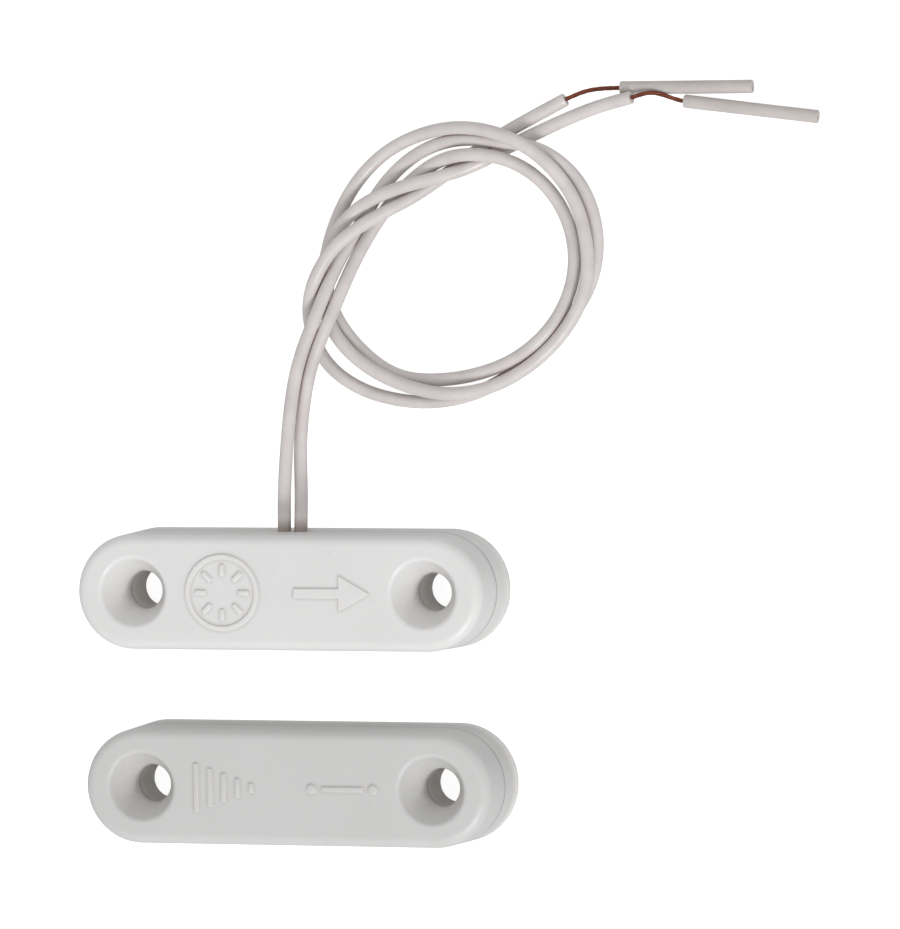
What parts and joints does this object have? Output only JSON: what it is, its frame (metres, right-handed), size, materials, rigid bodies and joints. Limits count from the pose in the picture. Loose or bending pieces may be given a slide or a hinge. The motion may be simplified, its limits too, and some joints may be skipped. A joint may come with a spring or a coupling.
{
  "type": "door contact sensor",
  "caption": "Surface-mount magnetic door contact: two slim stadium housings with screw sinks, a reed switch inside one, a magnet in the other, and two coiled leads with end slugs.",
  "frame": {"origin": "centre of the switch half's back face, where it lies on the door frame", "axes": "+X along both housings, +Y the way the leads leave the switch half, +Z out of the front faces"},
  "size_m": [0.0703, 0.0713, 0.0097],
  "materials": {
    "cover_plastic": "moulded white, satin gloss",
    "capsule_glass": "clear greenish glass",
    "reed_steel": "nickel-iron wire, drawn",
    "soft_potting": "cured silicone, dull",
    "solder": "soft solder, satin",
    "lead_plastic": "flexible insulation, satin",
    "copper_strand": "bare stranded copper, dull",
    "magnet_ferrite": "sintered hard ferrite, dull",
    "pad_foam": "closed-cell foam"
  },
  "bodies": {
    "switch_half": {"switch_rear_cover": "cover_plastic", "switch_front_cover": "cover_plastic", "reed_glass": "capsule_glass", "reed_fixed_blade": "reed_steel", "reed_end_wire": "reed_steel", "reed_saddles": "soft_potting", "solder_joint_1": "solder", "solder_joint_2": "solder", "exit_sealant": "soft_potting", "lead_1_insulation": "lead_plastic", "lead_2_insulation": "lead_plastic", "lead_1_tail": "copper_strand", "lead_2_tail": "copper_strand", "lead_1_core": "copper_strand", "lead_2_core": "copper_strand"},
    "magnet_half": {"magnet_rear_cover": "cover_plastic", "magnet_front_cover": "cover_plastic", "bar_magnet": "magnet_ferrite", "magnet_pad": "pad_foam"},
    "reed_blade": {"reed_moving_blade": "reed_steel"},
    "slug_1": {"lead_1_slug": "lead_plastic"},
    "slug_2": {"lead_2_slug": "lead_plastic"}
  },
  "joints": [
    {"name": "door_travel", "type": "slide", "parent": "switch_half", "child": "magnet_half", "axis": [0, -1, 0], "range_m": [-0.005, 0.033]},
    {"name": "reed_contact", "type": "hinge", "parent": "switch_half", "child": "reed_blade", "pos_m": [0.00375, -0.001, 0.00452], "axis": [0, 1, 0], "range_deg": [-0.29, 1.9]},
    {"name": "slug_1_slide", "type": "slide", "parent": "switch_half", "child": "slug_1", "axis": [1, 0, 0], "range_m": [0, 0.01]},
    {"name": "slug_2_slide", "type": "slide", "parent": "switch_half", "child": "slug_2", "axis": [0.9925, -0.1219, 0], "range_m": [0, 0.01]}
  ],
  "couplings": [
    {"joint": "reed_contact", "follows": "door_travel", "rad_per_m": 1}
  ]
}
